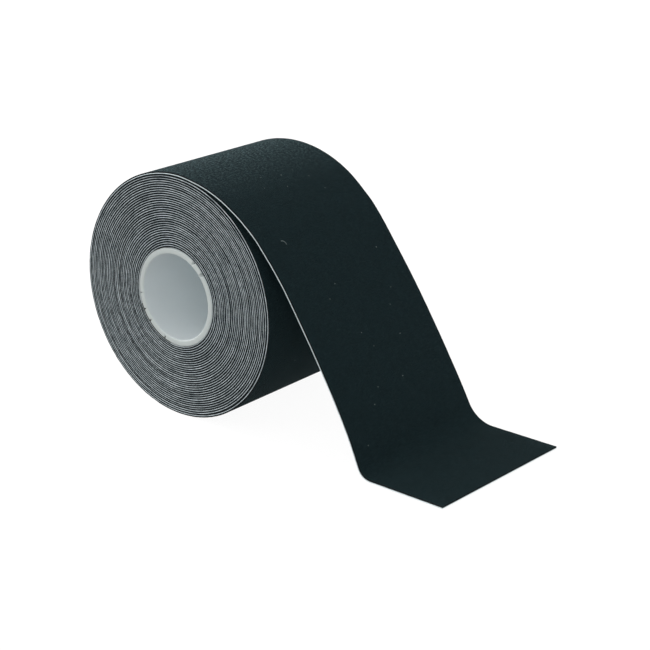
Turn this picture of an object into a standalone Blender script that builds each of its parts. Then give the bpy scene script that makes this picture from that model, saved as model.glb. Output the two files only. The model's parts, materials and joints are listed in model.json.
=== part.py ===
"""Roll of woven sports grip tape, 5 cm by 5 m, on a plastic core, with its free end drawn out.

Metres, +Z up. The roll's axis lies along Y, its front face looks along -Y, and the tape leaves the top of
the roll towards +X, hangs down clear of it, creases and lies flat on the floor (z = 0). The strip is black
fabric with its adhesive underneath, stuck on a backing paper, and both are wound together.

The strip is one length on the real roll. Here it is cut where it bends or slides: between the coil and the
outermost lap, where the tape leaves the roll, at the crease and where the end peels off its paper.
"""

from math import ceil, cos, degrees, pi, radians, sin

import bmesh
import bpy
from mathutils import Matrix, Vector

COLLECTION_NAME = "grip_tape_roll"

# The strip
TAPE_WIDTH = 0.050
FABRIC = 0.00040
BACKING_PAPER = 0.00019
BOND = 0.00003
STACK = FABRIC + BOND + BACKING_PAPER

# The core tube
CORE_OUTER_RADIUS = 0.0145
CORE_WALL = 0.0018
CORE_EDGE_RADIUS = 0.0004
CORE_STEPS = 48

# The double-sided strip that holds the first turn on the core
STARTER_INNER_RADIUS = 0.01453
STARTER_THICKNESS = 0.00010
STARTER_ARC = 60
STARTER_STEPS = 12

# The coil: a spiral from the core outwards
COIL_INNER_RADIUS = 0.01484
PITCH = 0.00066
COIL_TURNS = 29.5
COIL_STEPS_PER_TURN = 20
COIL_OUTER_END = 79.5

# The outermost lap: loose on the coil, and lifting off it towards the top. Angles are in degrees from +X
# towards +Z, and the tape runs from the larger angle to the smaller one.
LAP_OUTER_RADIUS = 0.03565
LAP_START = 437.5
LAP_END = 92.5
LAP_STEP = 5.0
LAP_LIFT = 0.00075
LAP_LIFT_ARC = 60.0

# The drawn-out end. Radii are at the fabric's face, and slopes are in degrees from horizontal.
SHOULDER_RADIUS = 0.0390
SHOULDER_SLOPE = -50.0
HANG_RADIUS = 0.285
HANG_SLOPE = -62.3
CREASE_RADIUS = 0.0065
END_REACH = 0.0959
PEEL_LINE_REACH = 0.0080
ARC_STEP = 6.0

# Clearances at the strip's cuts: half the thickness that turns there, and a little more
HINGE_GAP = STACK / 2 + 0.00014
PEEL_GAP = FABRIC / 2 + 0.00010

FABRIC_BLACK = (0.012, 0.018, 0.021, 1.0)
PAPER_WHITE = (0.80, 0.80, 0.77, 1.0)
PLASTIC_WHITE = (0.74, 0.77, 0.76, 1.0)
STARTER_CLEAR = (0.78, 0.76, 0.66, 1.0)


def lap_radius(angle):
    """Radius of the line between fabric and paper in the outermost lap."""
    rise = max((LAP_END + LAP_LIFT_ARC - angle) / LAP_LIFT_ARC, 0.0)
    return LAP_OUTER_RADIUS - FABRIC - BOND / 2 + LAP_LIFT * rise * rise


def coil_radius(turned):
    """Radius of the line between fabric and paper after so many degrees of winding."""
    return COIL_INNER_RADIUS + BACKING_PAPER + BOND / 2 + PITCH * turned / 360


# The core's axis is placed so that the lap's lowest facet lies on the floor, and so that the origin is under
# the middle of the whole outline.
LAP_FACET_RADIUS = (LAP_OUTER_RADIUS - FABRIC) * cos(radians(LAP_STEP / 2)) + FABRIC
AXIS_X = (LAP_FACET_RADIUS - END_REACH) / 2
AXIS_Z = LAP_FACET_RADIUS
SPINDLE = Vector((AXIS_X, 0.0, AXIS_Z))


def on_roll(angle, radius):
    """A station of the strip on the roll: its point in the XZ plane, and the way its fabric faces."""
    facing = Vector((cos(radians(angle)), sin(radians(angle))))
    return Vector((AXIS_X, AXIS_Z)) + facing * radius, facing


def coil_stations():
    """The wound strip, from the core to its outer end under the drawn-out tape."""
    count = round(COIL_TURNS * COIL_STEPS_PER_TURN)
    step = 360 / COIL_STEPS_PER_TURN
    first = COIL_OUTER_END + COIL_TURNS * 360
    return [on_roll(first - i * step, coil_radius(i * step)) for i in range(count + 1)]


def lap_stations():
    """The outermost lap, stopping a hinge gap short of the line where the tape lifts off."""
    stop = LAP_END + degrees(HINGE_GAP / lap_radius(LAP_END))
    count = round((LAP_START - LAP_END) / LAP_STEP)
    angles = [LAP_START - i * LAP_STEP for i in range(count)] + [stop]
    return [on_roll(angle, lap_radius(angle)) for angle in angles]


def facing_of(slope):
    """The way the fabric faces where the strip runs at this slope."""
    return Vector((-sin(radians(slope)), cos(radians(slope))))


def arc(start, slope, end_slope, radius):
    """Stations along an arc that takes the strip from one slope to another."""
    count = max(1, ceil(abs(end_slope - slope) / ARC_STEP))
    side = 1 if end_slope > slope else -1
    centre = start + side * radius * facing_of(slope)
    slopes = [slope + (end_slope - slope) * i / count for i in range(1, count + 1)]
    return [(centre - side * radius * facing_of(s), facing_of(s)) for s in slopes]


def tail_stations():
    """The drawn-out strip: the hang, the half of the crease that hangs with it, and the half on the floor."""
    inset = FABRIC + BOND / 2
    floor_line = BACKING_PAPER + BOND / 2
    start, facing = on_roll(LAP_END, lap_radius(LAP_END))
    outward = degrees(2 * LAP_LIFT / (lap_radius(LAP_END) * radians(LAP_LIFT_ARC)))
    leave_slope = LAP_END - 90 + outward
    hang = [(start, facing)]
    hang += arc(start, leave_slope, SHOULDER_SLOPE, SHOULDER_RADIUS - inset)
    hang += arc(hang[-1][0], SHOULDER_SLOPE, HANG_SLOPE, HANG_RADIUS - inset)
    crease_radius = CREASE_RADIUS + inset
    crease_drop = crease_radius * (1 - cos(radians(HANG_SLOPE)))
    straight = (hang[-1][0].y - crease_drop - floor_line) / -sin(radians(HANG_SLOPE))
    run = Vector((cos(radians(HANG_SLOPE)), sin(radians(HANG_SLOPE))))
    hang.append((hang[-1][0] + run * straight, facing_of(HANG_SLOPE)))
    upper = arc(hang[-1][0], HANG_SLOPE, HANG_SLOPE / 2, crease_radius)
    lower = arc(upper[-1][0], HANG_SLOPE / 2, 0.0, crease_radius)
    return hang + upper, [upper[-1]] + lower


def cut_back(stations, gap):
    """The same stations with the last one moved back along the strip by the gap."""
    (before, before_facing), (last, facing) = stations[-2:]
    along = (before - last).normalized()
    share = gap / (before - last).length
    return stations[:-1] + [(last + along * gap, facing.lerp(before_facing, share).normalized())]


def flat_run(stations, to_x):
    """The stations carried on along the floor to this X."""
    return stations + [(Vector((to_x, stations[-1][0].y)), Vector((0.0, 1.0)))]


def finish(name, bm, origin, material):
    """The mesh as a named object, placed with its origin on its own hinge line."""
    mesh = bpy.data.meshes.new(name)
    bm.to_mesh(mesh)
    bm.free()
    mesh.materials.append(material)
    piece = bpy.data.objects.new(name, mesh)
    piece.location = origin
    bpy.data.collections[COLLECTION_NAME].objects.link(piece)
    return piece


def sheet(name, line, faces_to, thickness, origin, material):
    """A line in the XZ plane drawn across the tape's width, and thickened on the side it faces to."""
    bm = bmesh.new()
    front = [bm.verts.new((p.x - origin.x, -TAPE_WIDTH / 2, p.y - origin.z)) for p in line]
    edges = [bm.edges.new(pair) for pair in zip(front, front[1:])]
    drawn = bmesh.ops.extrude_edge_only(bm, edges=edges)["geom"]
    back = [v for v in drawn if isinstance(v, bmesh.types.BMVert)]
    bmesh.ops.translate(bm, verts=back, vec=(0.0, TAPE_WIDTH, 0.0))
    bm.normal_update()
    first_normal = front[0].link_faces[0].normal
    if first_normal.dot(Vector((faces_to.x, 0.0, faces_to.y))) < 0:
        bmesh.ops.reverse_faces(bm, faces=bm.faces)
    piece = finish(name, bm, origin, material)
    thick = piece.modifiers.new("thickness", "SOLIDIFY")
    thick.thickness = thickness
    thick.offset = 1.0
    thick.use_even_offset = True
    return piece


def fabric_layer(name, stations, origin, material):
    """The fabric with its adhesive, on the outer side of the strip's line."""
    line = [point + facing * BOND / 2 for point, facing in stations]
    return sheet(name, line, stations[0][1], FABRIC, origin, material)


def paper_layer(name, stations, origin, material):
    """The backing paper, on the inner side of the strip's line."""
    line = [point - facing * BOND / 2 for point, facing in stations]
    return sheet(name, line, -stations[0][1], BACKING_PAPER, origin, material)


def turned(name, profile, steps, material):
    """A ring turned about the roll's axis, from a closed profile of (radius, height) points."""
    bm = bmesh.new()
    ring = [bm.verts.new((radius, 0.0, height)) for radius, height in profile]
    for a, b in zip(ring, ring[1:] + ring[:1]):
        bm.edges.new((a, b))
    piece = finish(name, bm, SPINDLE, material)
    piece.rotation_euler = (pi / 2, 0.0, 0.0)
    screw = piece.modifiers.new("turned", "SCREW")
    screw.steps = steps
    screw.render_steps = steps
    screw.use_merge_vertices = True
    screw.merge_threshold = 0.000001
    return piece


def core_profile():
    """The tube's wall in section, down its outer side and up its bore, with rounded rims."""
    outer = CORE_OUTER_RADIUS
    inner = outer - CORE_WALL
    half = TAPE_WIDTH / 2
    edge = CORE_EDGE_RADIUS
    corners = [
        (outer - edge, half - edge, 90, 0),
        (outer - edge, edge - half, 0, -90),
        (inner + edge, edge - half, -90, -180),
        (inner + edge, half - edge, -180, -270),
    ]
    profile = []
    for x, z, begin, end in corners:
        for share in (0.0, 0.5, 1.0):
            turn = radians(begin + (end - begin) * share)
            profile.append((x + edge * cos(turn), z + edge * sin(turn)))
    return profile


def core_tube(material):
    core = turned("core_tube", core_profile(), CORE_STEPS, material)
    core.data.shade_smooth()
    return core


def starter_strip(material):
    """The double-sided strip on the core, under the first turn's inner end."""
    first = COIL_OUTER_END + COIL_TURNS * 360
    step = STARTER_ARC / STARTER_STEPS
    stations = [on_roll(first - i * step, STARTER_INNER_RADIUS) for i in range(STARTER_STEPS + 1)]
    line = [point for point, _ in stations]
    return sheet("starter_strip", line, stations[0][1], STARTER_THICKNESS, SPINDLE, material)


def principled(name, color, roughness, sheen=0.0):
    material = bpy.data.materials.new(name)
    material.use_nodes = True
    shader = material.node_tree.nodes["Principled BSDF"]
    shader.inputs["Base Color"].default_value = color
    shader.inputs["Roughness"].default_value = roughness
    shader.inputs["Metallic"].default_value = 0.0
    shader.inputs["Sheen Weight"].default_value = sheen
    return material


def upright(station, out):
    """A hinge point on the roll's middle plane, so far out from the strip's line at a station."""
    point, facing = station
    place = point + facing * out
    return Vector((place.x, 0.0, place.y))


def carry(parent, child):
    """Parents a child where it stands, so that its location stays in the part's frame."""
    child.parent = parent
    child.matrix_parent_inverse = Matrix.Translation(-parent.location)


def hinge(name, place, pieces, carrier=None):
    """An empty on a hinge line, with the pieces that turn about it, carried by another hinge."""
    empty = bpy.data.objects.new(name, None)
    empty.empty_display_size = TAPE_WIDTH / 4
    empty.location = place
    bpy.data.collections[COLLECTION_NAME].objects.link(empty)
    if carrier:
        carry(carrier, empty)
    for piece in pieces:
        carry(empty, piece)
    return empty


def build_roll(fabric, paper):
    """The core, the coil that turns with it, and the outermost lap around them."""
    plastic = principled("plastic_white", PLASTIC_WHITE, 0.45)
    starter = principled("starter_clear", STARTER_CLEAR, 0.35)
    coil = coil_stations()
    turning = [
        core_tube(plastic),
        starter_strip(starter),
        paper_layer("wound_paper", coil, SPINDLE, paper),
        fabric_layer("wound_tape", coil, SPINDLE, fabric),
    ]
    hinge("spindle_axis", SPINDLE, turning)
    lap = lap_stations()
    paper_layer("outer_lap_paper", lap, SPINDLE, paper)
    fabric_layer("outer_lap_tape", lap, SPINDLE, fabric)


def build_tail(fabric, paper):
    """The drawn-out strip, hinged where it lifts off, at its crease and where its end peels."""
    hang, crease = tail_stations()
    mid_stack = (FABRIC - BACKING_PAPER) / 2
    lift_point = upright(hang[0], mid_stack)
    crease_point = upright(crease[0], mid_stack)
    peel_x = crease[-1][0].x + PEEL_LINE_REACH
    end_x = AXIS_X + END_REACH
    peel_point = Vector((peel_x, 0.0, STACK - FABRIC / 2))

    hang = cut_back(hang, HINGE_GAP)
    drape = [
        paper_layer("drape_paper", hang, lift_point, paper),
        fabric_layer("drape_tape", hang, lift_point, fabric),
    ]
    end = [
        paper_layer("end_paper", flat_run(crease, end_x), crease_point, paper),
        fabric_layer("end_tape", flat_run(crease, peel_x - PEEL_GAP), crease_point, fabric),
    ]
    free = flat_run([(Vector((peel_x, crease[-1][0].y)), crease[-1][1])], end_x)
    peeled = [fabric_layer("peel_end_tape", free, peel_point, fabric)]

    lift_line = hinge("lift_line", lift_point, drape)
    crease_line = hinge("crease_line", crease_point, end, lift_line)
    hinge("peel_line", peel_point, peeled, crease_line)


def build():
    for old in list(bpy.data.objects):
        bpy.data.objects.remove(old, do_unlink=True)
    parts = bpy.data.collections.new(COLLECTION_NAME)
    bpy.context.scene.collection.children.link(parts)
    fabric = principled("fabric_black", FABRIC_BLACK, 0.85, sheen=0.3)
    paper = principled("paper_white", PAPER_WHITE, 0.7)
    build_roll(fabric, paper)
    build_tail(fabric, paper)


build()
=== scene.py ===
"""Looks of the grip tape roll: woven black fabric on white backing paper, wound on a plastic core.

The strip is meshed along one path: a spiral coil, the outermost lap, and the drawn-out end, which hangs
from the roll's top, creases and lies on the floor. Each piece is a stretch of that path, closed, with its
arc length and width kept as UVs, so the weave carries on from one piece to the next and stays put on each
piece.
"""
import json
import math

import bmesh
import bpy
import numpy as np
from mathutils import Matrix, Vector


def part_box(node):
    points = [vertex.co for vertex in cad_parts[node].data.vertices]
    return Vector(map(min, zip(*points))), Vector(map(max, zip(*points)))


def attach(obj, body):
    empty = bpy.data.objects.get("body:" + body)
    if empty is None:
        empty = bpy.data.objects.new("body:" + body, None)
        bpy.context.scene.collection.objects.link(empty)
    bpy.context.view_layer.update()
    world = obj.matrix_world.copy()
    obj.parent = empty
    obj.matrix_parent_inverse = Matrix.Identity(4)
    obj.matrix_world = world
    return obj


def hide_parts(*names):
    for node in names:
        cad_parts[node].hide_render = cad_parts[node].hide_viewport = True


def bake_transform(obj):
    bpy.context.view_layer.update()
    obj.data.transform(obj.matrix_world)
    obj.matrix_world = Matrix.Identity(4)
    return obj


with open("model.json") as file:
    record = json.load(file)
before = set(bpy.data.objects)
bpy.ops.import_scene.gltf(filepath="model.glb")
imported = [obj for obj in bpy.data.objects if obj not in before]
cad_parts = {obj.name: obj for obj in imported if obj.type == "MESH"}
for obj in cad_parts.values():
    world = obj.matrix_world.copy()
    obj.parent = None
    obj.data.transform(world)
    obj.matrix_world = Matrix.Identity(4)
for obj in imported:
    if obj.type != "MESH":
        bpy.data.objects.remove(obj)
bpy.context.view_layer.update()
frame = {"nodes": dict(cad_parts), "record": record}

# ---------------------------------------------------------------- sizes, in metres and degrees

JOINTS = {joint["name"]: joint for joint in frame["record"]["behaviour"]["joints"]}
SPINDLE = np.array(JOINTS["roll_turn"]["pos_m"], float)
CREASE_POINT = np.array(JOINTS["end_fold"]["pos_m"], float)
PEEL_POINT = np.array(JOINTS["end_peel"]["pos_m"], float)

HALF_WIDTH = (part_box("wound_tape")[1].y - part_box("wound_tape")[0].y) / 2
CORE_LOW, CORE_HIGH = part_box("core_tube")
CORE_OUTER = (CORE_HIGH.x - CORE_LOW.x) / 2
CORE_WALL = 0.0018
END_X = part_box("peel_end_tape")[1].x

# Layers of the strip, and the rounding of its cut edges
FABRIC = 0.000405
PAPER = 0.000195
BOND = 0.00002
CUT_ROUNDING = 0.00009
ROUNDED_SHARE = (0.45, 0.80, 1.00)
SHARP_ABOVE = 50.0

# The coil and the outermost lap. Angles are counted anticlockwise from the side where the end is drawn out.
PITCH = 0.00066
COIL_OUTER = 0.03496
COIL_TURNS = 31
COIL_INNER = 0.01465
LAP_OUTER = 0.03565
LAP_INNER = 0.03503
LAP_SPLIT = 150.0
LAP_END = 92.5
LAP_LIFT = 0.00075
LAP_LIFT_ARC = 60.0
RISE_START = LAP_END + LAP_LIFT_ARC
LAP_SLACK = 0.00020
SLACK_FROM = 455.0
SLACK_TO = 320.0
SLACK_EASE_IN = 30.0
SLACK_EASE_OUT = 50.0
THINNEST = 0.00001
COIL_OVERRUN = 60.0

# The drawn-out end at its front and back edges: the strip is a little twisted, so the two differ.
SHOULDER_RADIUS = (0.0399, 0.0387)
SHOULDER_SLOPE = (-50.0, -50.4)
HANG_RADIUS = (0.250, 0.331)
HANG_SLOPE = (-64.2, -58.8)
CREASE_RADIUS = (0.0041, 0.0098)
END_TRIM = (-0.0012, 0.0012)
DIP = (0.00027, 0.0)
SWELL = (0.00048, 0.00033)
HUMP = (0.00040, 0.00023)
HUMP_PLACE = (0.049, 0.042)
HUMP_WIDTH = (0.009, 0.006)
RIPPLE = 0.00003

# Where the drawn-out end is cut into pieces
HANG_CUT_BELOW = 0.72 * SPINDLE[2]
HANG_CUT_PAST = 0.012
PEEL_LEAD = 0.0035

RIM_EDGE = 0.00045
# The three chips seen in the rim, as angle, width in degrees and depth, and a few small ones at random
CHIPS = ((57.0, 1.3, 0.0005), (40.0, 2.0, 0.0008), (250.0, 1.1, 0.00025))
SMALL_CHIP_COUNT = 3
SMALL_CHIP_WIDTH = 0.9
SMALL_CHIP_DEPTH = 0.0002
# Chips deeper than this get painted shade on their floors
SHADED_CHIP_ABOVE = 0.00012
CHIP_REACH_IN = 0.0006
CHIP_REACH_DOWN = 0.0009
CHIP_DEEPER = 1.6

CORE_STEPS = 720
CORE_CLEARANCE = 0.00003
CORNER_STEPS = 6
COIL_STEPS = 132
ROLL_STEP = 1.5
ALONG_STEP = 0.0007
ACROSS = 18

FLOOR_SIZE = 3.0
FLOOR_DROP = 0.00006

# Loose cotton caught on the fabric: specks scattered at random, in metres past the lift line, and one fibre
SPECK_COUNT = 14
SPECKS_FROM = 0.010
SPECKS_TO = 0.090
SPECK_SMALLEST = 0.00013
SPECK_LARGEST = 0.00020
FIBRE_CENTRE = (0.040, -0.017)
FIBRE_RADIUS = 0.0011
FIBRE_WIDTH = 0.00012


# ---------------------------------------------------------------- smooth noise

def wave_sum(low, high, count, seed):
    """A smooth random function of one number: a sum of sines whose rates lie between low and high."""
    draw = np.random.default_rng(seed)
    rates = np.exp(draw.uniform(math.log(low), math.log(high), count))
    phases = draw.uniform(0, 2 * math.pi, count)
    sizes = draw.uniform(0.5, 1.0, count)
    sizes = sizes / math.sqrt((sizes ** 2).sum() / 2)

    def value(x):
        x = np.asarray(x, float)
        return (np.sin(x[..., None] * rates + phases) * sizes).sum(-1)

    return value


# ---------------------------------------------------------------- the strip's path

def columns():
    """Widths across the strip, from its front edge to its back one, closer together at the rounded cuts."""
    inner = np.linspace(-HALF_WIDTH + 3 * CUT_ROUNDING, HALF_WIDTH - 3 * CUT_ROUNDING, ACROSS)
    return edge_columns(inner)


def edge_columns(inner):
    """The inner widths with the cut's rounding added at each side."""
    cut = np.array([0.0, 0.3, 1.0]) * CUT_ROUNDING
    return np.concatenate([-HALF_WIDTH + cut, inner, HALF_WIDTH - cut[::-1]])


def roll_path(angles, radii, width):
    """Base points and facings of stations on the roll, for each width."""
    turn = np.radians(angles)
    facing = np.stack([np.cos(turn), np.sin(turn)], -1)
    point = SPINDLE[[0, 2]] + facing * radii[:, None]
    length = -np.cumsum(np.r_[0.0, np.diff(turn) * (radii[1:] + radii[:-1]) / 2])
    shape = (len(angles), len(width))
    base = np.broadcast_to(point[:, None], shape + (2,)).copy()
    face = np.broadcast_to(facing[:, None], shape + (2,)).copy()
    run = np.broadcast_to(length[:, None], shape).copy()
    return base, face, run


def rise_share(past_start):
    """How far a turn has climbed onto the one below, from 0 to 1, so many degrees after its climb began."""
    behind = np.clip(past_start, 0.0, 360.0)
    lifted = LAP_LIFT * (behind / LAP_LIFT_ARC) ** 2
    full = LAP_OUTER - COIL_OUTER
    return lifted / (lifted ** 6 + full ** 6) ** (1 / 6)


def lap_radius(angle):
    """Radius of the line between fabric and paper in the outermost lap, from its climb to its lift-off."""
    angle = np.asarray(angle, float)
    line = LAP_OUTER - FABRIC - BOND / 2
    lift = LAP_LIFT * (np.maximum(RISE_START - angle, 0.0) / LAP_LIFT_ARC) ** 2
    climb = (1 - rise_share(RISE_START + 360 - angle)) * (LAP_OUTER - COIL_OUTER)
    loosens = ease(-angle, -SLACK_FROM, SLACK_EASE_IN - SLACK_FROM)
    tightens = ease(-angle, -SLACK_TO, SLACK_EASE_OUT - SLACK_TO)
    return line + lift + LAP_SLACK * loosens * (1 - tightens) - np.where(angle > RISE_START + 1.0, climb, 0.0)


def coil_radius(turned):
    """The same line in the coil, from its first turn round the core to its climb into the outermost lap."""
    turns = np.floor(turned / 360 + 1e-9)
    step = np.where(turns >= COIL_TURNS, LAP_OUTER - COIL_OUTER, PITCH)
    line = COIL_OUTER - FABRIC - BOND / 2 + PITCH * (np.minimum(turns, COIL_TURNS) - COIL_TURNS)
    return line + step * rise_share(turned - 360 * turns)


def between(pair, share):
    """The value between the front edge's and the back edge's, at each share of the width."""
    return pair[0] + (pair[1] - pair[0]) * share


def ease(value, begin, end):
    """0 before begin, 1 after end, and a smooth step between them."""
    share = np.clip((value - begin) / (end - begin), 0.0, 1.0)
    return share * share * (3 - 2 * share)


def billow(length, width):
    """How far the hanging strip stands off its arcs, at a length past the lift line and a place across it."""
    share = ((width + HALF_WIDTH) / (2 * HALF_WIDTH))[None, :]
    dip = between(DIP, share) * ease(length, 0.003, 0.011) * (1 - ease(length, 0.024, 0.032))
    swell = between(SWELL, share) * ease(length, 0.030, 0.038) * (1 - ease(length, 0.093, 0.107))
    from_hump = (length - between(HUMP_PLACE, share)) / between(HUMP_WIDTH, share)
    hump = between(HUMP, share) * np.exp(-from_hump ** 2)
    ripple = wave_sum(60, 260, 9, 41)(length) * RIPPLE * ease(length, 0.010, 0.030)
    ripple = ripple * (1 - ease(length, 0.09, 0.10))
    return swell + hump + ripple - dip


def drape_path(width):
    """Base points, facings and arc lengths of the drawn-out end, station by station and width by width."""
    share = (width + HALF_WIDTH) / (2 * HALF_WIDTH)
    inset = FABRIC + BOND / 2
    rise = 2 * LAP_LIFT / (float(lap_radius(LAP_END)) * math.radians(LAP_LIFT_ARC))
    leave = LAP_END - 90 + math.degrees(rise)
    stretches = [
        (leave, between(SHOULDER_SLOPE, share), between(SHOULDER_RADIUS, share) - inset),
        (between(SHOULDER_SLOPE, share), between(HANG_SLOPE, share), between(HANG_RADIUS, share) - inset),
    ]
    start = SPINDLE[[0, 2]] + float(lap_radius(LAP_END)) * np.array(
        [math.cos(math.radians(LAP_END)), math.sin(math.radians(LAP_END))])
    place = np.tile(start, (len(width), 1))
    points, slopes, runs = [place.copy()], [np.full(len(width), leave)], [np.zeros(len(width))]

    def walk(slope_from, slope_to, length, count):
        nonlocal place
        for i in range(count):
            mid = slope_from + (slope_to - slope_from) * (i + 0.5) / count
            step = length / count
            heading = np.stack([np.cos(np.radians(mid)), np.sin(np.radians(mid))], -1)
            place = place + heading * np.asarray(step)[..., None]
            points.append(place.copy())
            slopes.append(np.broadcast_to(slope_from + (slope_to - slope_from) * (i + 1) / count, len(width)))
            runs.append(runs[-1] + step)

    for slope_from, slope_to, radius in stretches:
        length = radius * np.radians(np.abs(slope_to - slope_from))
        walk(slope_from, slope_to, length, round(float(length.mean()) / ALONG_STEP))

    hang = between(HANG_SLOPE, share)
    crease = between(CREASE_RADIUS, share) + inset
    floor_line = PAPER + BOND / 2
    drop = crease * (1 - np.cos(np.radians(hang)))
    straight = np.maximum((place[:, 1] - drop - floor_line) / -np.sin(np.radians(hang)), 1e-5)
    walk(hang, hang, straight, max(2, round(float(straight.mean()) / ALONG_STEP)))
    walk(hang, hang * 0.0, crease * np.radians(-hang), round(float(crease.mean()) * 1.1 / (ALONG_STEP / 2)))
    flat = END_X + between(END_TRIM, share) - place[:, 0]
    walk(hang * 0.0, hang * 0.0, flat, round(float(flat.mean()) / ALONG_STEP))

    slope = np.radians(np.array(slopes))
    facing = np.stack([-np.sin(slope), np.cos(slope)], -1)
    return np.array(points), facing, np.array(runs)


# ---------------------------------------------------------------- meshes

def closed_strip(name, width, base, facing, run, low, high, materials, along0=0.0):
    """A closed layer between two offsets from the path, with rounded cuts. low and high may vary by point."""
    rows, cols = base.shape[:2]
    low = np.broadcast_to(low, (rows, cols))
    high = np.broadcast_to(high, (rows, cols))
    middle, half = (low + high) / 2, (high - low) / 2
    from_cut = np.minimum(np.arange(cols), np.arange(cols)[::-1])
    swell = np.array(ROUNDED_SHARE)[np.minimum(from_cut, 2)]
    half = half * swell[None, :]
    y = np.broadcast_to(width, (rows, cols))

    def surface(offset):
        flat = base + facing * offset[..., None]
        return np.stack([flat[..., 0], y, flat[..., 1]], -1)

    top, under = surface(middle + half), surface(middle - half)
    verts = np.concatenate([top.reshape(-1, 3), under.reshape(-1, 3)])
    index = np.arange(rows * cols).reshape(rows, cols)
    below = index + rows * cols
    quads = []
    column = np.broadcast_to(np.arange(cols - 1), (rows - 1, cols - 1)).ravel()
    rounded = np.minimum(column, cols - 2 - column) < 2

    def grid(a, flip):
        q = np.stack([a[:-1, :-1], a[1:, :-1], a[1:, 1:], a[:-1, 1:]], -1).reshape(-1, 4)
        quads.append(q[:, ::-1] if flip else q)

    grid(index, False)
    grid(below, True)
    quads.append(np.stack([index[:-1, 0], below[:-1, 0], below[1:, 0], index[1:, 0]], -1))
    quads.append(np.stack([index[1:, -1], below[1:, -1], below[:-1, -1], index[:-1, -1]], -1))
    quads.append(np.stack([index[0, 1:], below[0, 1:], below[0, :-1], index[0, :-1]], -1))
    quads.append(np.stack([index[-1, :-1], below[-1, :-1], below[-1, 1:], index[-1, 1:]], -1))
    faces = np.concatenate(quads)
    side = np.concatenate([np.full(len(q), k) for k, q in enumerate(quads)])
    side[:2 * len(rounded)][np.tile(rounded, 2)] = 2

    mesh = bpy.data.meshes.new(name)
    mesh.vertices.add(len(verts))
    mesh.vertices.foreach_set("co", verts.astype(np.float32).ravel())
    mesh.loops.add(faces.size)
    mesh.loops.foreach_set("vertex_index", faces.ravel().astype(np.int32))
    mesh.polygons.add(len(faces))
    mesh.polygons.foreach_set("loop_start", np.arange(0, faces.size, 4, dtype=np.int32))
    mesh.polygons.foreach_set("loop_total", np.full(len(faces), 4, np.int32))
    for material in materials:
        mesh.materials.append(material)
    if len(materials) > 1:
        slots = np.select([side == 0, side == 1], [0, 1], default=min(2, len(materials) - 1))
        mesh.polygons.foreach_set("material_index", slots.astype(np.int32))
    uv = mesh.uv_layers.new(name="strip")
    along = np.concatenate([(run + along0).ravel()] * 2)
    across = np.concatenate([y.ravel()] * 2)
    per_loop = np.stack([along[faces.ravel()], across[faces.ravel()]], -1)
    uv.data.foreach_set("uv", per_loop.astype(np.float32).ravel())
    mesh.update(calc_edges=True)
    mesh.validate()
    mesh.shade_smooth()
    obj = bpy.data.objects.new(name, mesh)
    bpy.context.collection.objects.link(obj)
    mesh.set_sharp_from_angle(angle=math.radians(SHARP_ABOVE))
    return obj


# ---------------------------------------------------------------- node helpers

class Nodes:
    """Short-hand for building a material's node tree."""

    def __init__(self, name):
        self.material = bpy.data.materials.new(name)
        self.material.use_nodes = True
        self.tree = self.material.node_tree
        self.shader = self.tree.nodes["Principled BSDF"]
        self.output = self.tree.nodes["Material Output"]

    def add(self, kind, **settings):
        node = self.tree.nodes.new(kind)
        for key, value in settings.items():
            setattr(node, key, value)
        return node

    def link(self, source, target):
        self.tree.links.new(source, target)

    def feed(self, target, value):
        """Links a socket to the target, or sets the target's value."""
        if isinstance(value, bpy.types.NodeSocket):
            self.link(value, target)
        else:
            target.default_value = value

    def math(self, operation, a, b=0.0, c=0.0, clamp=False):
        node = self.add("ShaderNodeMath", operation=operation, use_clamp=clamp)
        for socket, value in zip(node.inputs, (a, b, c)):
            self.feed(socket, value)
        return node.outputs[0]

    def uv(self):
        node = self.add("ShaderNodeUVMap", uv_map="strip")
        return node.outputs[0]

    def place(self):
        return self.add("ShaderNodeTexCoord").outputs["Object"]

    def scaled(self, vector, scale):
        node = self.add("ShaderNodeMapping")
        node.inputs["Scale"].default_value = scale
        self.link(vector, node.inputs["Vector"])
        return node.outputs[0]

    def noise(self, vector, scale, detail=2.0, roughness=0.5):
        node = self.add("ShaderNodeTexNoise")
        self.link(vector, node.inputs["Vector"])
        node.inputs["Scale"].default_value = scale
        node.inputs["Detail"].default_value = detail
        node.inputs["Roughness"].default_value = roughness
        return node.outputs["Fac"]

    def ramp(self, value, stops):
        node = self.add("ShaderNodeValToRGB")
        self.link(value, node.inputs["Fac"])
        ramp = node.color_ramp
        while len(ramp.elements) < len(stops):
            ramp.elements.new(0.5)
        for element, (position, color) in zip(ramp.elements, stops):
            element.position = position
            element.color = color if len(color) == 4 else (*color, 1.0)
        return node.outputs["Color"]

    def mix(self, factor, a, b, blend_type="MIX"):
        node = self.add("ShaderNodeMix", data_type="RGBA", blend_type=blend_type)
        self.feed(node.inputs[0], factor)
        self.feed(node.inputs[6], a)
        self.feed(node.inputs[7], b)
        return node.outputs[2]

    def bump(self, height, distance, strength=1.0):
        node = self.add("ShaderNodeBump")
        node.inputs["Strength"].default_value = strength
        node.inputs["Distance"].default_value = distance
        self.link(height, node.inputs["Height"])
        return node.outputs[0]


def rgb(r, g, b):
    return (r, g, b, 1.0)


# ---------------------------------------------------------------- materials

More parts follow.
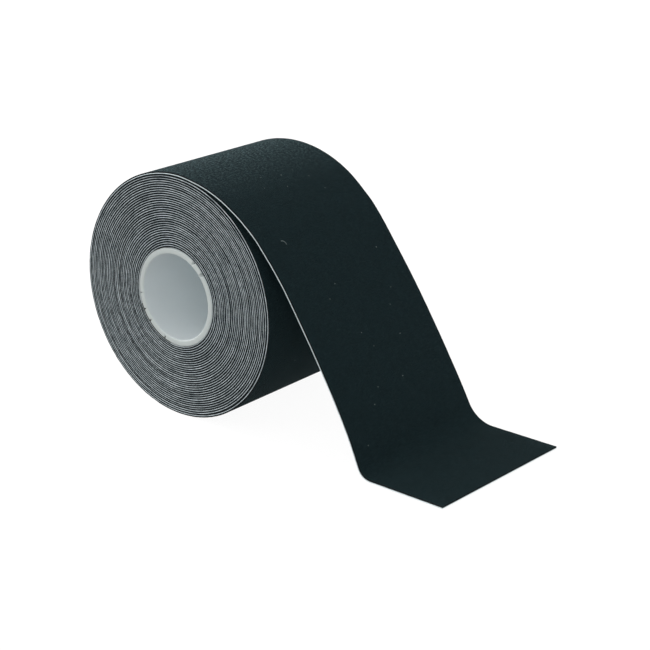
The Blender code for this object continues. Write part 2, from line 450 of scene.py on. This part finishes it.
THREAD = 0.00034
WEFT_DENSITY = 1.15
WAVE_LENGTH = 0.024
WAVE_DEPTH = 0.0022
COMB_PITCH = 0.0021
# Lit and shaded copies of the core's plastic, chosen by which way a face points: painted shade on the rim's
# end faces, painted light in the bore
RIM_PAINTED_SHADE = (0.655, 0.71, 0.695)
BORE_PAINTED_LIGHT = (0.775, 0.83, 0.845)
# Chip floor colour: painted shade in the notch
CHIP_PAINTED_SHADE = (0.20, 0.23, 0.225)
FABRIC_DARK = (0.0019, 0.0069, 0.0094)
FABRIC_FADED = (0.0028, 0.0094, 0.0126)
FABRIC_PALE = (0.0120, 0.0260, 0.0290)
LINT_PALE = (0.30, 0.36, 0.35)
# Dark end of the paper edge's tone: painted shade for paper turns sunk between the fabric layers
PAPER_CUT_SHADED = (0.30, 0.37, 0.39)
PAPER_CUT_BRIGHT = (0.86, 0.96, 1.00)
PAPER_EDGE_WHITE = (0.82, 0.95, 0.97)
# Where along the strip the paper's edge turns from the coil's painted shade to a clean white
BRIGHT_FROM = -0.030
BRIGHT_TO = 0.006
# Flecked sheen on the roll's top: its centre past the lift line, its reach to either side and its fade
FLECK_CENTRE = -0.012
FLECK_REACH = 0.036
FLECK_FADE = 0.0225


def woven_fabric():
    """Black cotton: threads crossing over and under, with sheen, pale fluff and slightly faded yarn."""
    n = Nodes("fabric_black_woven")
    uv = n.uv()
    parts = n.add("ShaderNodeSeparateXYZ")
    wobble = n.add("ShaderNodeVectorMath", operation="MULTIPLY_ADD")
    drift = n.add("ShaderNodeTexNoise")
    n.link(uv, drift.inputs["Vector"])
    drift.inputs["Scale"].default_value = 700.0
    n.link(drift.outputs["Color"], wobble.inputs[0])
    wobble.inputs[1].default_value = (0.00012, 0.00012, 0.0)
    n.link(uv, wobble.inputs[2])
    n.link(wobble.outputs[0], parts.inputs[0])
    along = n.math("MULTIPLY", parts.outputs["X"], math.pi / THREAD)
    across = n.math("MULTIPLY", parts.outputs["Y"], math.pi / THREAD * WEFT_DENSITY)
    warp = n.math("ABSOLUTE", n.math("SINE", across))
    weft = n.math("ABSOLUTE", n.math("SINE", along))
    over = n.math("MULTIPLY", n.math("SINE", along), n.math("SINE", across))
    over = n.math("MULTIPLY_ADD", over, 0.5, 0.5)
    height = n.math("ADD", n.math("MULTIPLY", warp, over),
                    n.math("MULTIPLY", weft, n.math("SUBTRACT", 1.0, over)))
    fuzz = n.noise(uv, 5200.0, 3.0, 0.6)
    height = n.math("MULTIPLY_ADD", fuzz, 0.55, height)
    slub = n.noise(n.scaled(uv, (1.0, 0.22, 1.0)), 2600.0, 2.0, 0.6)
    height = n.math("MULTIPLY_ADD", slub, 1.6, height)

    mottle = n.noise(uv, 260.0, 4.0, 0.65)
    worn = n.ramp(mottle, [(0.36, FABRIC_DARK), (0.62, FABRIC_FADED)])
    fluff = n.ramp(slub, [(0.50, (0, 0, 0)), (0.78, (1, 1, 1))])
    color = n.mix(n.math("MULTIPLY", fluff, 0.55), worn, rgb(*FABRIC_PALE))
    thread_tone = n.math("MULTIPLY_ADD", height, 0.35, 0.70)
    color = n.mix(1.0, color, grey_of(n, thread_tone), "MULTIPLY")
    color = n.mix(lint_mask(n, uv), color, rgb(*LINT_PALE))
    n.link(color, n.shader.inputs["Base Color"])

    n.shader.inputs["Roughness"].default_value = 0.80
    n.shader.inputs["Specular IOR Level"].default_value = 0.09
    n.shader.inputs["Specular Tint"].default_value = rgb(0.55, 0.93, 1.0)
    grain = n.noise(n.scaled(uv, (1.0, 0.75, 1.0)), 1500.0, 2.0, 0.7)
    fleck = n.ramp(grain, [(0.44, (0, 0, 0)), (0.66, (1, 1, 1))])
    away = n.math("ABSOLUTE", n.math("SUBTRACT", parts.outputs["X"], FLECK_CENTRE))
    handled = n.math("MULTIPLY_ADD", away, -1 / FLECK_FADE, FLECK_REACH / FLECK_FADE, clamp=True)
    fleck_sheen = n.math("MULTIPLY_ADD", fleck, 0.34, -0.06)
    n.feed(n.shader.inputs["Sheen Weight"], n.math("MULTIPLY_ADD", handled, fleck_sheen, 0.09))
    n.shader.inputs["Sheen Roughness"].default_value = 0.45
    n.shader.inputs["Sheen Tint"].default_value = rgb(0.60, 0.96, 1.0)
    n.link(n.bump(height, 0.00028, 1.0), n.shader.inputs["Normal"])
    return n.material


def lint_mask(n, uv):
    """Where loose cotton lies on the strip: faint flecks, ragged specks and one short curled fibre."""
    ragged = n.math("MULTIPLY_ADD", n.noise(uv, 6000.0, 2.0, 0.5), 0.00016, -0.00008)
    mask = n.math("GREATER_THAN", n.noise(uv, 900.0, 1.0, 0.4), 0.815)
    draw = np.random.default_rng(51)
    least = (SPECKS_FROM, -0.8 * HALF_WIDTH, SPECK_SMALLEST)
    most = (SPECKS_TO, 0.8 * HALF_WIDTH, SPECK_LARGEST)
    for along, across, radius in draw.uniform(least, most, (SPECK_COUNT, 3)).tolist():
        reach = n.math("ADD", distance_from(n, uv, (along, across, 0.0)), ragged)
        mask = n.math("MAXIMUM", mask, n.math("LESS_THAN", reach, radius))
    along, across = FIBRE_CENTRE
    off_curl = n.math("SUBTRACT", distance_from(n, uv, (along, across, 0.0)), FIBRE_RADIUS)
    on_curl = n.math("LESS_THAN", n.math("ABSOLUTE", off_curl), FIBRE_WIDTH)
    bow = (along - 0.7 * FIBRE_RADIUS, across + 0.8 * FIBRE_RADIUS, 0.0)
    near_bow = n.math("LESS_THAN", distance_from(n, uv, bow), FIBRE_RADIUS)
    fibre = n.math("MULTIPLY", on_curl, near_bow)
    return n.math("MULTIPLY", n.math("MAXIMUM", mask, fibre), 0.7)


def distance_from(n, vector, point):
    """The distance between a vector socket and a fixed point."""
    node = n.add("ShaderNodeVectorMath", operation="DISTANCE")
    n.link(vector, node.inputs[0])
    node.inputs[1].default_value = point
    return node.outputs["Value"]


def grey_of(n, value):
    """A value as a grey colour socket."""
    node = n.add("ShaderNodeCombineColor")
    for socket in node.inputs:
        n.link(value, socket)
    return node.outputs[0]


def fabric_cut():
    """The fabric's cut edge: black yarn ends with paler fluff and adhesive between them."""
    n = Nodes("fabric_black_cut")
    where = n.place()
    fluff = n.noise(where, 2600.0, 3.0, 0.6)
    patch = n.noise(where, 300.0, 2.0, 0.5)
    blend = n.math("MULTIPLY_ADD", patch, 0.5, n.math("MULTIPLY", fluff, 0.7))
    color = n.ramp(blend, [(0.42, (0.003, 0.005, 0.006)), (0.85, (0.018, 0.025, 0.028))])
    n.link(color, n.shader.inputs["Base Color"])
    n.shader.inputs["Roughness"].default_value = 0.9
    n.shader.inputs["Specular IOR Level"].default_value = 0.2
    n.link(n.bump(fluff, 0.00012, 0.9), n.shader.inputs["Normal"])
    return n.material


def adhesive():
    """The sticky underside: clear acrylic combed into waves over the black fabric."""
    n = Nodes("fabric_black_adhesive")
    parts = n.add("ShaderNodeSeparateXYZ")
    n.link(n.uv(), parts.inputs[0])
    swing = n.math("SINE", n.math("MULTIPLY", parts.outputs["X"], 2 * math.pi / WAVE_LENGTH))
    bend = n.math("MULTIPLY", swing, WAVE_DEPTH)
    lane = n.math("ADD", parts.outputs["Y"], bend)
    ridge = n.math("SINE", n.math("MULTIPLY", lane, 2 * math.pi / COMB_PITCH))
    ridge = n.math("MULTIPLY_ADD", ridge, 0.5, 0.5)
    grain = n.noise(n.uv(), 1500.0, 3.0, 0.6)
    color = n.ramp(n.math("MULTIPLY_ADD", grain, 0.25, n.math("MULTIPLY", ridge, 0.8)),
                   [(0.30, (0.016, 0.024, 0.026)), (0.72, (0.085, 0.095, 0.090))])
    n.link(color, n.shader.inputs["Base Color"])
    n.feed(n.shader.inputs["Roughness"], n.math("MULTIPLY_ADD", ridge, -0.35, 0.62))
    n.shader.inputs["Coat Weight"].default_value = 0.35
    n.shader.inputs["Coat Roughness"].default_value = 0.22
    height = n.math("MULTIPLY_ADD", grain, 0.15, ridge)
    n.link(n.bump(height, 0.00012, 0.9), n.shader.inputs["Normal"])
    return n.material


def release_paper():
    """The backing paper: white, faintly fibrous, with a silicone gloss."""
    n = Nodes("paper_white_release")
    where = n.place()
    fibre = n.noise(where, 1400.0, 4.0, 0.65)
    cloud = n.noise(where, 120.0, 2.0, 0.5)
    tone = n.math("MULTIPLY_ADD", fibre, 0.6, n.math("MULTIPLY", cloud, 0.4))
    color = n.ramp(tone, [(0.35, (0.60, 0.62, 0.63)), (0.62, (0.76, 0.79, 0.80))])
    n.link(color, n.shader.inputs["Base Color"])
    n.shader.inputs["Roughness"].default_value = 0.55
    n.shader.inputs["Subsurface Weight"].default_value = 0.12
    n.shader.inputs["Subsurface Radius"].default_value = (0.0004, 0.0004, 0.0004)
    n.link(n.bump(fibre, 0.00003, 0.6), n.shader.inputs["Normal"])
    return n.material


def paper_cut(name, whitens):
    """The paper's cut edge: fine fibre grain and broad darker stretches, which are painted shade for paper
    turns sunk between the fabric layers; where it whitens, the painted shade fades to clean white along the
    drawn-out end.
    """
    n = Nodes(name)
    where = n.uv()
    fine = n.noise(where, 1500.0, 3.0, 0.65)
    turn_shade = n.noise(where, 160.0, 3.0, 0.6)
    tone = n.math("MULTIPLY_ADD", turn_shade, 0.6, n.math("MULTIPLY", fine, 0.4))
    # Painted shade at the dark end of the ramp, the paper's own white at the bright end
    color = n.ramp(tone, [(0.36, PAPER_CUT_SHADED), (0.60, PAPER_CUT_BRIGHT)])
    if whitens:
        parts = n.add("ShaderNodeSeparateXYZ")
        n.link(where, parts.inputs[0])
        share = n.math("MULTIPLY_ADD", parts.outputs["X"], 1 / (BRIGHT_TO - BRIGHT_FROM),
                       -BRIGHT_FROM / (BRIGHT_TO - BRIGHT_FROM), clamp=True)
        color = n.mix(share, color, rgb(*PAPER_EDGE_WHITE))
    n.link(color, n.shader.inputs["Base Color"])
    n.shader.inputs["Roughness"].default_value = 0.8
    n.shader.inputs["Specular IOR Level"].default_value = 0.3
    n.link(n.bump(fine, 0.00008, 0.8), n.shader.inputs["Normal"])
    return n.material


def core_plastic():
    """Off-white moulded plastic, a little translucent and faintly drawn, in lit and shaded copies by facing:
    painted shade makes the rim's end faces a darker greenish grey, painted light makes the bore a lighter,
    cooler grey.
    """
    n = Nodes("plastic_white_moulded")
    where = n.place()
    haze = n.noise(where, 60.0, 3.0, 0.5)
    drawn = n.noise(n.scaled(where, (1.0, 0.02, 1.0)), 900.0, 2.0, 0.5)
    facing = n.add("ShaderNodeSeparateXYZ")
    n.link(n.add("ShaderNodeNewGeometry").outputs["Normal"], facing.inputs[0])
    # Faces along the axis get the painted rim shade, faces round it the painted bore light
    rim = n.math("ABSOLUTE", facing.outputs["Y"])
    painted_facing_light = n.mix(n.ramp(rim, [(0.15, (0, 0, 0)), (0.75, (1, 1, 1))]), rgb(*BORE_PAINTED_LIGHT), rgb(*RIM_PAINTED_SHADE))
    shade = n.math("MULTIPLY_ADD", haze, 0.10, 0.95)
    n.link(n.mix(1.0, painted_facing_light, grey_of(n, shade), "MULTIPLY"), n.shader.inputs["Base Color"])
    rough = n.math("MULTIPLY_ADD", drawn, 0.18, 0.42)
    n.link(rough, n.shader.inputs["Roughness"])
    n.shader.inputs["Subsurface Weight"].default_value = 0.35
    n.shader.inputs["Subsurface Radius"].default_value = (0.0022, 0.0024, 0.0024)
    n.shader.inputs["Specular IOR Level"].default_value = 0.35
    n.link(n.bump(drawn, 0.00002, 0.5), n.shader.inputs["Normal"])
    return n.material


def chip_floor_shade():
    """The rough floor of a chip in the core's rim, its dark grey being painted shade in the notch."""
    n = Nodes("plastic_chip_painted_shade")
    grain = n.noise(n.place(), 3000.0, 3.0, 0.6)
    tone = n.math("MULTIPLY_ADD", grain, 0.8, 0.6)
    n.link(n.mix(1.0, rgb(*CHIP_PAINTED_SHADE), grey_of(n, tone), "MULTIPLY"), n.shader.inputs["Base Color"])
    n.shader.inputs["Roughness"].default_value = 0.8
    n.link(n.bump(grain, 0.0001, 0.8), n.shader.inputs["Normal"])
    return n.material


def starter_film():
    """The thin double-sided strip between the core and the first turn."""
    n = Nodes("starter_clear_film")
    grain = n.noise(n.place(), 700.0, 2.0, 0.5)
    color = n.ramp(grain, [(0.3, (0.085, 0.090, 0.085)), (0.7, (0.150, 0.155, 0.145))])
    n.link(color, n.shader.inputs["Base Color"])
    n.shader.inputs["Roughness"].default_value = 0.35
    n.link(n.bump(grain, 0.00001, 0.4), n.shader.inputs["Normal"])
    return n.material


FABRIC_FACE = woven_fabric()
FABRIC_CUT = fabric_cut()
FABRIC_STICKY = adhesive()
PAPER_FACE = release_paper()
PAPER_CUT = paper_cut("paper_white_cut", False)
PAPER_EDGE = paper_cut("paper_white_edge", True)
PLASTIC = core_plastic()
CHIP_SHADE_MATERIAL = chip_floor_shade()
FILM = starter_film()

FABRIC_SET = [FABRIC_FACE, FABRIC_STICKY, FABRIC_CUT]
PAPER_SET = [PAPER_FACE, PAPER_FACE, PAPER_CUT]
PAPER_OUTER_SET = [PAPER_FACE, PAPER_FACE, PAPER_EDGE]


# ---------------------------------------------------------------- the roll

def layer_offsets(fabric):
    """Offsets of a layer's two faces from the path."""
    return (BOND / 2, BOND / 2 + FABRIC) if fabric else (-BOND / 2 - PAPER, -BOND / 2)


def within(radii, low, high, inner, outer):
    """Cuts a layer's offsets back to a ring, and says which stations are left."""
    low = np.maximum(low, inner - radii)
    high = np.minimum(high, outer - radii)
    left = high - low > THINNEST
    return low, high, slice(int(np.argmax(left)), len(left) - int(np.argmax(left[::-1])))


def coil_layers():
    """The wound fabric and paper. Each turn's cut edges wander a little."""
    count = int((COIL_TURNS + COIL_OVERRUN / 360) * COIL_STEPS)
    turned = np.linspace(0.0, COIL_TURNS * 360 + COIL_OVERRUN, count + 1)
    angles = RISE_START - turned + 360 * (COIL_TURNS + 1)
    inner = np.array([-HALF_WIDTH + 3 * CUT_ROUNDING, HALF_WIDTH - 3 * CUT_ROUNDING])
    width = edge_columns(inner)
    theta = np.radians(turned)
    slow, quick, rough = wave_sum(0.15, 1.5, 10, 11), wave_sum(5, 40, 24, 12), wave_sum(60, 300, 40, 13)
    swell = wave_sum(0.4, 9.0, 20, 14)
    free = np.clip((COIL_TURNS * 360 - 360 - turned) / 200, 0, 1) * np.clip((turned - 360) / 200, 0, 1)
    radii = coil_radius(turned) + (0.000012 * quick(theta) + 0.000008 * rough(theta)) * free
    base, facing, run = roll_path(angles, radii, width)

    for name, fabric, proud, seed in (("coil_tape", True, 0.00001, 21), ("coil_paper", False, -0.00002, 22)):
        low, high = layer_offsets(fabric)
        swollen = np.clip(1 + 0.12 * swell(theta * 1.3 + seed) * free, 0.75, 1.12) if not fabric else 1.0
        middle, half = (low + high) / 2, (high - low) / 2 * swollen
        low, high, kept = within(radii, middle - half, middle + half, COIL_INNER, COIL_OUTER)
        edge = proud + 0.00004 * slow(theta + seed) + 0.00002 * rough(theta * 0.8 + seed)
        side = np.where(np.abs(width) > HALF_WIDTH - 4 * CUT_ROUNDING, np.sign(width), 0.0)
        shifted = width[None, :] + side[None, :] * edge[:, None]
        piece = closed_strip(name, shifted[kept], base[kept], facing[kept], run[kept], low[kept, None],
                             high[kept, None], FABRIC_SET if fabric else PAPER_SET)
        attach(piece, "coil")
        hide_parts("wound_tape" if fabric else "wound_paper")


def strip_pieces(label, width, base, facing, run, along0, fabric=True, paper=True, radii=None):
    """The fabric and the paper over one stretch of the path, cut back to the lap's ring if it has radii."""
    made = []
    whole = (base, facing, run)
    for is_fabric, wanted in ((True, fabric), (False, paper)):
        if not wanted:
            continue
        low, high = layer_offsets(is_fabric)
        base, facing, run = whole
        if radii is not None:
            low, high, kept = within(radii, np.full(len(radii), low), high, LAP_INNER, 1.0)
            low, high = low[kept, None], high[kept, None]
            base, facing, run = base[kept], facing[kept], run[kept]
        name = label + ("_tape" if is_fabric else "_paper")
        past = run[:, 0] + along0
        proud = -0.00003 if is_fabric else 0.00003 + 0.00006 * ease(past, BRIGHT_FROM, BRIGHT_TO)
        step = np.where(np.abs(width) > HALF_WIDTH - 4 * CUT_ROUNDING, np.sign(width), 0.0)
        ragged = wave_sum(400, 5000, 30, 31 + is_fabric)(past) * 0.000018
        shifted = width[None, :] + step[None, :] * (proud + ragged)[:, None]
        piece = closed_strip(name, shifted, base, facing, run, low, high,
                             FABRIC_SET if is_fabric else PAPER_OUTER_SET, along0)
        made.append(piece)
    return made


def lap_model():
    """Makes the outermost lap, and gives the widths, the rise to the lift line and the end's path."""
    width = columns()

    lap_start = RISE_START + 360
    angles = np.linspace(lap_start, LAP_SPLIT, round((lap_start - LAP_SPLIT) / ROLL_STEP) + 1)
    radii = lap_radius(angles)
    base, facing, run = roll_path(angles, radii, width)
    rise_angles = np.linspace(LAP_SPLIT, LAP_END, round((LAP_SPLIT - LAP_END) / ROLL_STEP) + 1)
    rise = roll_path(rise_angles, lap_radius(rise_angles), width)
    before_lift = -run[-1, 0] - rise[2][-1, 0]
    for piece, node in zip(strip_pieces("lap", width, base, facing, run, before_lift, radii=radii),
                           ("outer_lap_tape", "outer_lap_paper")):
        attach(piece, "outer_lap")
        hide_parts(node)

    # facing on the rise leans with the lift, so that it meets the shoulder without a kink
    lean_share = np.clip((LAP_END + LAP_LIFT_ARC - rise_angles) / LAP_LIFT_ARC, 0, 1)
    lean = 2 * LAP_LIFT / (float(lap_radius(LAP_END)) * math.radians(LAP_LIFT_ARC)) * lean_share
    turn = np.radians(rise_angles) + lean
    rise[1][:] = np.stack([np.cos(turn), np.sin(turn)], -1)[:, None]
    return width, rise, drape_path(width)


def join_paths(first, second, along):
    """Two stretches in one: the second carries on from the first's last station."""
    base = np.concatenate([first[0], second[0][1:]])
    facing = np.concatenate([first[1], second[1][1:]])
    run = np.concatenate([first[2], second[2][1:] + along])
    return base, facing, run


def tail_model():
    """The drawn-out end, in pieces cut near each hinge."""
    width, rise, drape = lap_model()
    rise_length = rise[2][-1, 0]
    base, facing, run = join_paths(rise, drape, rise_length)

    past = run - rise_length
    base = base + facing * np.where(past > 0, billow(past, width), 0.0)[..., None]

    middle = len(width) // 2
    x_mid = base[:, middle, 0]
    z_mid = base[:, middle, 1]
    rows = len(x_mid)
    flat_from = int(np.argmax((x_mid > CREASE_POINT[0]) & (z_mid < PAPER + BOND)))
    hang_cut = max(int(np.argmax(z_mid < HANG_CUT_BELOW)), int(np.argmax(x_mid > HANG_CUT_PAST)))
    peel_cut = flat_from + int(np.argmax(x_mid[flat_from:] > PEEL_POINT[0] - PEEL_LEAD))

    def stretch(a, b):
        return base[a:b + 1], facing[a:b + 1], run[a:b + 1]

    upper = strip_pieces("hang", width, *stretch(0, hang_cut), -rise_length)
    for piece, node in zip(upper, ("drape_tape", "drape_paper")):
        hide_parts(node)
        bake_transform(piece)

    lower_tape = strip_pieces("crease", width, *stretch(hang_cut, peel_cut), -rise_length, paper=False)[0]
    lower_paper = strip_pieces("crease", width, *stretch(hang_cut, rows - 1), -rise_length, fabric=False)[0]
    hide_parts("end_tape")
    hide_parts("end_paper")
    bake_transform(lower_tape)
    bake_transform(lower_paper)

    free = strip_pieces("free_end", width, *stretch(peel_cut, rows - 1), -rise_length, paper=False)[0]
    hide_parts("peel_end_tape")
    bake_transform(free)


# ---------------------------------------------------------------- the core

def core_tube():
    """The moulded core: a tube with rounded rims, and small chips in the front rim's outer edge."""
    steps = CORE_STEPS
    outer, inner = CORE_OUTER - CORE_CLEARANCE, CORE_OUTER - CORE_WALL
    profile = []
    for r, y, begin in ((outer, -HALF_WIDTH, 0), (inner, -HALF_WIDTH, 90), (inner, HALF_WIDTH, 180),
                        (outer, HALF_WIDTH, 270)):
        centre_r = r - RIM_EDGE if r == outer else r + RIM_EDGE
        centre_y = y + RIM_EDGE if y < 0 else y - RIM_EDGE
        for share in np.linspace(0, 1, CORNER_STEPS + 1):
            turn = math.radians(begin + 90 * share)
            profile.append((centre_r + RIM_EDGE * math.cos(turn), centre_y - RIM_EDGE * math.sin(turn)))
    profile = np.array(profile)
    angles = np.linspace(0, 360, steps, endpoint=False)
    radius = np.broadcast_to(profile[:, 0], (steps, len(profile))).copy()
    depth = np.broadcast_to(profile[:, 1], (steps, len(profile))).copy()
    rim = (profile[:, 1] < -HALF_WIDTH + CHIP_REACH_IN) & (profile[:, 0] > outer - CHIP_REACH_DOWN)
    chipped = np.zeros(steps)
    small = np.random.default_rng(52).uniform(0.0, 360.0, SMALL_CHIP_COUNT)
    for at, wide, deep in CHIPS + tuple((at, SMALL_CHIP_WIDTH, SMALL_CHIP_DEPTH) for at in small):
        chipped += np.exp(-((np.mod(angles - at + 180, 360) - 180) / wide) ** 4) * deep
    depth[:, rim] += CHIP_DEEPER * chipped[:, None]
    radius[:, rim] -= chipped[:, None]
    turn = np.radians(angles)[:, None]
    verts = np.stack([SPINDLE[0] + radius * np.cos(turn), depth, SPINDLE[2] + radius * np.sin(turn)], -1)
    count = len(profile)
    index = np.arange(steps * count).reshape(steps, count)
    nxt = np.roll(index, -1, axis=0)
    faces = np.stack([index, nxt, np.roll(nxt, -1, axis=1), np.roll(index, -1, axis=1)], -1).reshape(-1, 4)
    mesh = bpy.data.meshes.new("core_tube_moulded")
    mesh.from_pydata(verts.reshape(-1, 3).tolist(), [], faces.tolist())
    mesh.materials.append(PLASTIC)
    mesh.materials.append(CHIP_SHADE_MATERIAL)
    # Faces on a chip's floor get the painted shade material
    shaded_chip_faces = (chipped > SHADED_CHIP_ABOVE)[:, None] & rim[None, :]
    shaded_chip_faces &= np.roll(shaded_chip_faces, -1, axis=0) & np.roll(shaded_chip_faces, -1, axis=1)
    mesh.polygons.foreach_set("material_index", shaded_chip_faces.ravel().astype(np.int32))
    mesh.update()
    turn_outwards(mesh)
    mesh.shade_smooth()
    core = bpy.data.objects.new("core_tube_moulded", mesh)
    bpy.context.collection.objects.link(core)
    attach(core, "coil")
    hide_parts("core_tube")


def turn_outwards(mesh):
    """Makes a closed mesh's faces point out."""
    bm = bmesh.new()
    bm.from_mesh(mesh)
    bmesh.ops.recalc_face_normals(bm, faces=bm.faces)
    bm.to_mesh(mesh)
    bm.free()


def starter():
    """The CAD's starter strip stays as it is, with a film material of its own."""
    node = frame["nodes"]["starter_strip"]
    for slot in node.material_slots:
        slot.material = FILM


# ---------------------------------------------------------------- stage, light and camera

FLOOR_SHARE = 0.14
FLOOR_GLOW = 0.60
WORLD_ABOVE = 0.63
WORLD_BELOW = 0.35
POWER_FRONT = 1.93
POWER_RIGHT = 1.10
POWER_LEFT = 7.8
LIGHT_AIM = (0.0, 0.0, 0.02)

LENS = 89.65
SENSOR = 36.0
AZIMUTH, ELEVATION, DISTANCE = 40.09, 20.54, 0.45759
AIM = SPINDLE + np.array([0.034447, 0.0, -0.007154])


def stage():
    """A pale floor that melts into the white surround and takes a faint shadow, open to light from below."""
    bpy.ops.mesh.primitive_plane_add(size=FLOOR_SIZE, location=(0, 0, -FLOOR_DROP))
    floor = bpy.context.object
    floor.name = "floor"
    n = Nodes("floor_pale")
    n.tree.nodes.remove(n.shader)
    path = n.add("ShaderNodeLightPath")
    clear = n.add("ShaderNodeBsdfTransparent")
    chalk = n.add("ShaderNodeBsdfDiffuse")
    chalk.inputs["Color"].default_value = rgb(0.9, 0.9, 0.9)
    glow = n.add("ShaderNodeEmission")
    glow.inputs["Strength"].default_value = FLOOR_GLOW
    lit = n.add("ShaderNodeAddShader")
    n.link(chalk.outputs[0], lit.inputs[0])
    n.link(glow.outputs[0], lit.inputs[1])
    mixer = n.add("ShaderNodeMixShader")
    n.link(n.math("MULTIPLY", path.outputs["Is Camera Ray"], FLOOR_SHARE), mixer.inputs[0])
    n.link(clear.outputs[0], mixer.inputs[1])
    n.link(lit.outputs[0], mixer.inputs[2])
    n.link(mixer.outputs[0], n.output.inputs["Surface"])
    floor.data.materials.append(n.material)


def area_light(name, place, size, power):
    """A soft white rectangular light aimed at the roll's foot, which the camera doesn't see."""
    data = bpy.data.lights.new(name, "AREA")
    data.shape = "RECTANGLE"
    data.size, data.size_y = size
    data.energy = power
    lamp = bpy.data.objects.new(name, data)
    lamp.location = place
    lamp.rotation_euler = look_rotation(np.array(LIGHT_AIM) - np.array(place))
    lamp.visible_camera = False
    bpy.context.collection.objects.link(lamp)


def look_rotation(direction):
    """The rotation that points a lamp or a camera along a direction."""
    return Vector(direction).to_track_quat("-Z", "Y").to_euler()


def lights():
    """Three soft lights, and a white surround that lights the roll less from below than from above."""
    area_light("front_left", (-0.50, -0.80, 0.40), (0.7, 0.7), POWER_FRONT)
    area_light("front_right", (0.60, -0.70, 0.45), (0.6, 0.6), POWER_RIGHT)
    area_light("left", (-0.80, 0.02, 0.32), (0.25, 0.6), POWER_LEFT)
    world = bpy.data.worlds.new("studio_white")
    bpy.context.scene.world = world
    world.use_nodes = True
    tree = world.node_tree
    background = tree.nodes["Background"]
    background.inputs["Color"].default_value = rgb(1.0, 1.0, 1.0)
    where = tree.nodes.new("ShaderNodeTexCoord")
    parts = tree.nodes.new("ShaderNodeSeparateXYZ")
    tree.links.new(where.outputs["Generated"], parts.inputs[0])
    sky = tree.nodes.new("ShaderNodeMapRange")
    sky.inputs["From Min"].default_value = -0.5
    sky.inputs["From Max"].default_value = 0.5
    sky.inputs["To Min"].default_value = WORLD_BELOW
    sky.inputs["To Max"].default_value = WORLD_ABOVE
    tree.links.new(parts.outputs["Z"], sky.inputs["Value"])
    path = tree.nodes.new("ShaderNodeLightPath")
    mixer = tree.nodes.new("ShaderNodeMix")
    mixer.data_type = "FLOAT"
    tree.links.new(path.outputs["Is Camera Ray"], mixer.inputs[0])
    tree.links.new(sky.outputs[0], mixer.inputs[2])
    mixer.inputs[3].default_value = 1.0
    tree.links.new(mixer.outputs[0], background.inputs["Strength"])


def camera():
    """The photo's viewpoint."""
    azimuth, elevation = math.radians(AZIMUTH), math.radians(ELEVATION)
    away = np.array([math.sin(azimuth) * math.cos(elevation), -math.cos(azimuth) * math.cos(elevation),
                     math.sin(elevation)])
    data = bpy.data.cameras.new("camera")
    data.lens = LENS
    data.sensor_width = SENSOR
    data.clip_start = 0.01
    cam = bpy.data.objects.new("camera", data)
    cam.location = AIM + away * DISTANCE
    cam.rotation_euler = look_rotation(-away)
    bpy.context.collection.objects.link(cam)
    bpy.context.scene.camera = cam


coil_layers()
tail_model()
core_tube()
starter()
stage()
lights()
camera()
bpy.context.scene.view_settings.view_transform = "Standard"
